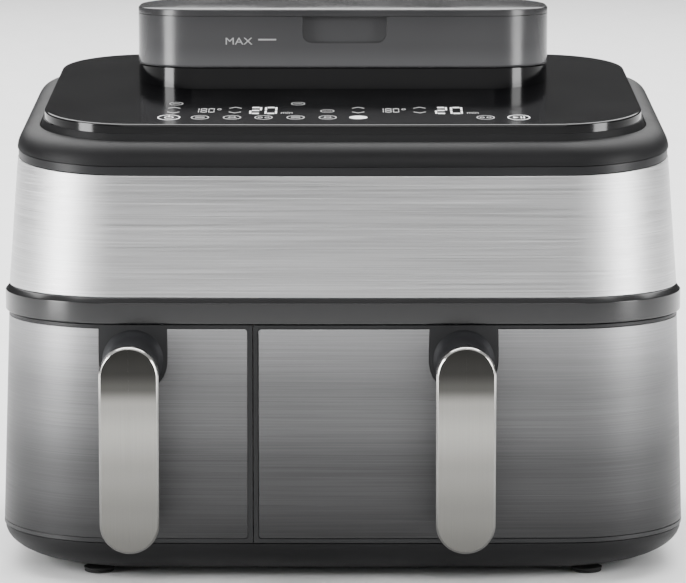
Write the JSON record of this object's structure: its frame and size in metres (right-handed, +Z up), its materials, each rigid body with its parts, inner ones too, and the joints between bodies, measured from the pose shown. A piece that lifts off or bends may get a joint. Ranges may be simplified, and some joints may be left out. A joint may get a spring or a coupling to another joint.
{
  "type": "air fryer",
  "caption": "Countertop air fryer with a small and a large pull-out basket drawer, vertical bar handles, sloping touch panel and a lift-off steam water tank.",
  "frame": {"origin": "on the worktop, under the middle of the object's bounding box", "axes": "+Z up, the front with the handles faces -Y, +X is the object's right as seen from the front"},
  "size_m": [0.4484, 0.383, 0.3615],
  "materials": {
    "brushed_steel": "horizontal hairline brushed stainless steel",
    "handle_metal": "satin champagne metal with a polished chamfer",
    "gunmetal": "satin dark grey metallic",
    "dark_plastic": "fine matte texture",
    "frame_plastic": "satin dark grey",
    "trim_plastic": "satin grey",
    "gloss_black": "polished black",
    "smoked_clear": "translucent smoky grey",
    "coating": "speckled non-stick coating",
    "sheet_metal": "aluminised sheet steel",
    "rubber": "matte",
    "circuit_board": "solder mask",
    "insulation": "pressed fibre board",
    "silicone": "translucent silicone"
  },
  "bodies": {
    "body": {"base_pan": "dark_plastic", "chassis_floor": "sheet_metal", "rear_housing": "dark_plastic", "exhaust_grille_left": "dark_plastic", "exhaust_grille_right": "dark_plastic", "cord_gland": "rubber", "front_carcass": "dark_plastic", "upper_steel_wrap": "brushed_steel", "mid_band": "gloss_black", "shoulder_trim": "trim_plastic", "top_shoulder": "dark_plastic", "top_plate": "gloss_black", "touch_board": "circuit_board", "tank_dock": "gloss_black", "dock_valve": "silicone", "divider_wall": "insulation", "steam_generator": "sheet_metal", "water_pump": "dark_plastic", "feed_hose": "silicone", "steam_pipe_left": "silicone", "steam_pipe_right": "silicone", "power_board": "circuit_board", "foot_front_left": "rubber", "foot_front_right": "rubber", "foot_rear_left": "rubber", "foot_rear_right": "rubber", "left_cavity_liner": "sheet_metal", "left_heater_coil": "gunmetal", "left_heater_guard": "sheet_metal", "left_fan_duct": "sheet_metal", "left_fan_motor": "gunmetal", "right_cavity_liner": "sheet_metal", "right_heater_coil": "gunmetal", "right_heater_guard": "sheet_metal", "right_fan_duct": "sheet_metal", "right_fan_motor": "gunmetal"},
    "left_drawer": {"left_drawer_frame": "frame_plastic", "left_drawer_panel": "brushed_steel", "left_drawer_back": "dark_plastic", "left_basket_pan": "coating", "left_handle_arm": "gunmetal", "left_handle_bar": "handle_metal", "left_handle_screw": "sheet_metal"},
    "left_tray": {"left_crisper_tray": "coating"},
    "left_fan": {"left_hot_fan": "sheet_metal", "left_fan_shaft": "sheet_metal"},
    "right_drawer": {"right_drawer_frame": "frame_plastic", "right_drawer_panel": "brushed_steel", "right_drawer_back": "dark_plastic", "right_basket_pan": "coating", "right_handle_arm": "gunmetal", "right_handle_bar": "handle_metal", "right_handle_screw": "sheet_metal"},
    "right_tray": {"right_crisper_tray": "coating"},
    "right_fan": {"right_hot_fan": "sheet_metal", "right_fan_shaft": "sheet_metal"},
    "tank": {"water_tank": "smoked_clear", "tank_valve": "silicone", "lid_hinge_pin": "sheet_metal"},
    "lid": {"tank_lid": "smoked_clear"}
  },
  "joints": [
    {"name": "left_drawer_slide", "type": "slide", "parent": "body", "child": "left_drawer", "axis": [0, -1, 0], "range_m": [0, 0.18]},
    {"name": "left_tray_lift", "type": "slide", "parent": "left_drawer", "child": "left_tray", "axis": [0, 0, 1], "range_m": [0, 0.095]},
    {"name": "left_fan_spin", "type": "hinge", "parent": "body", "child": "left_fan", "pos_m": [-0.1283, -0.00075, 0.19], "axis": [0, 0, 1], "continuous": true},
    {"name": "right_drawer_slide", "type": "slide", "parent": "body", "child": "right_drawer", "axis": [0, -1, 0], "range_m": [0, 0.18]},
    {"name": "right_tray_lift", "type": "slide", "parent": "right_drawer", "child": "right_tray", "axis": [0, 0, 1], "range_m": [0, 0.095]},
    {"name": "right_fan_spin", "type": "hinge", "parent": "body", "child": "right_fan", "pos_m": [0.0708, -0.00075, 0.19], "axis": [0, 0, 1], "continuous": true},
    {"name": "tank_lift", "type": "slide", "parent": "body", "child": "tank", "axis": [0, 0, 1], "range_m": [0, 0.08]},
    {"name": "lid_hinge", "type": "hinge", "parent": "tank", "child": "lid", "pos_m": [0, 0.1361, 0.3556], "axis": [-1, 0, 0], "range_deg": [0, 80]}
  ]
}
